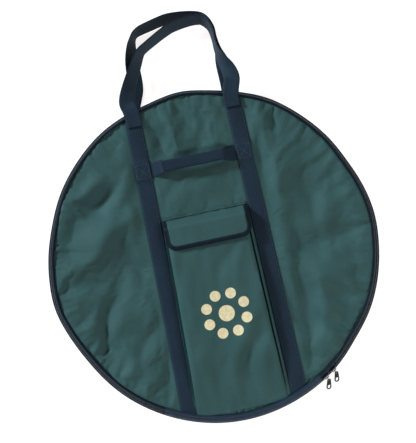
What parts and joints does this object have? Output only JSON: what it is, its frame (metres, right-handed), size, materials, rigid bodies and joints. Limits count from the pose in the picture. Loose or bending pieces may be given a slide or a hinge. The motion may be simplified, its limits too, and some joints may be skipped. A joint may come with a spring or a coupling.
{
  "type": "round instrument carry bag",
  "caption": "Flat round padded carry bag with a zipped lid, front pocket with flap, grip bar, webbing straps and two carry loops.",
  "frame": {"origin": "centre of the flat back face that the bag lies on", "axes": "+Z out through the front panel, +Y towards the carry loops, +X to the right seen from the front"},
  "size_m": [0.6199, 0.7766, 0.0622],
  "materials": {
    "green_cloth": "plain weave bag cloth, slight sheen",
    "padding": "closed-cell foam",
    "lining": "smooth lining cloth",
    "webbing": "ribbed woven webbing",
    "binding": "folded tape over cord",
    "zip_tape": "herringbone tape",
    "zip_coil": "coil chain",
    "fastener": "hook and loop",
    "gold_foil": "flat foil print, satin",
    "slider_metal": "black coated metal",
    "link_wire": "bare steel wire"
  },
  "bodies": {
    "back_half": {"back_panel": "green_cloth", "back_foam": "padding", "back_lining": "lining", "back_strap_left": "webbing", "back_strap_right": "webbing", "back_piping": "binding", "zip_tape_back": "zip_tape", "zip_coil_back": "zip_coil", "zip_end_stubs": "zip_coil", "hinge_gusset": "zip_tape", "gusset_foam": "padding", "foot_panel": "green_cloth", "foot_foam": "padding", "foot_lining": "lining", "foot_piping": "binding", "foot_straps": "webbing", "foot_pocket": "green_cloth"},
    "front_half": {"front_panel": "green_cloth", "front_foam": "padding", "front_lining": "lining", "front_strap_left": "webbing", "front_strap_right": "webbing", "front_piping": "binding", "zip_tape_front": "zip_tape", "zip_coil_front": "zip_coil", "loop_ends": "webbing", "grip_tabs": "webbing", "pocket_panel": "green_cloth", "pocket_side_left": "green_cloth", "pocket_side_right": "green_cloth", "pocket_hem": "green_cloth", "loop_tape": "fastener", "flap_seam": "green_cloth", "foil_emblem": "gold_foil"},
    "flap": {"flap_panel": "green_cloth", "flap_binding": "binding", "hook_tape": "fastener"},
    "grip": {"grip_bar": "webbing"},
    "front_loop": {"front_loop": "webbing"},
    "back_loop": {"back_loop": "webbing"},
    "slider_a": {"slider_a_body": "slider_metal", "slider_a_bail": "slider_metal"},
    "link_a": {"slider_a_link": "link_wire"},
    "pull_a": {"slider_a_pull": "slider_metal"},
    "slider_b": {"slider_b_body": "slider_metal", "slider_b_bail": "slider_metal"},
    "link_b": {"slider_b_link": "link_wire"},
    "pull_b": {"slider_b_pull": "slider_metal"}
  },
  "joints": [
    {"name": "lid_hinge", "type": "hinge", "parent": "back_half", "child": "front_half", "pos_m": [0, -0.245, 0.0455], "axis": [1, 0, 0], "range_deg": [0, 180]},
    {"name": "flap_hinge", "type": "hinge", "parent": "front_half", "child": "flap", "pos_m": [0, 0.084, 0.0494], "axis": [-1, 0, 0], "range_deg": [0, 140]},
    {"name": "grip_tilt", "type": "hinge", "parent": "front_half", "child": "grip", "pos_m": [0, 0.177, 0.05408], "axis": [1, 0, 0], "range_deg": [-35, 35]},
    {"name": "front_loop_hinge", "type": "hinge", "parent": "front_half", "child": "front_loop", "pos_m": [0, 0.2832, 0.0386], "axis": [1, 0, 0], "range_deg": [0, 130]},
    {"name": "back_loop_hinge", "type": "hinge", "parent": "back_half", "child": "back_loop", "pos_m": [0, 0.2902, 0.00085], "axis": [1, 0, 0], "range_deg": [-110, 0]},
    {"name": "slider_a_travel", "type": "hinge", "parent": "back_half", "child": "slider_a", "pos_m": [0, 0, 0], "axis": [0, 0, 1], "range_deg": [0, 1]},
    {"name": "link_a_swing", "type": "hinge", "parent": "slider_a", "child": "link_a", "pos_m": [0.16044, -0.26597, 0.01859], "axis": [-0.8563, -0.5165, 0], "range_deg": [-5, 100]},
    {"name": "pull_a_swing", "type": "hinge", "parent": "link_a", "child": "pull_a", "pos_m": [0.16296, -0.27014, 0.01493], "axis": [0.3107, -0.515, 0.7989], "range_deg": [-20, 36]},
    {"name": "slider_b_travel", "type": "hinge", "parent": "back_half", "child": "slider_b", "pos_m": [0, 0, 0], "axis": [0, 0, 1], "range_deg": [0, 294]},
    {"name": "link_b_swing", "type": "hinge", "parent": "slider_b", "child": "link_b", "pos_m": [0.17683, -0.25537, 0.01859], "axis": [-0.8221, -0.5693, 0], "range_deg": [-5, 100]},
    {"name": "pull_b_swing", "type": "hinge", "parent": "link_b", "child": "pull_b", "pos_m": [0.1796, -0.25937, 0.01493], "axis": [0.3424, -0.4945, 0.7989], "range_deg": [-15, 80]}
  ]
}
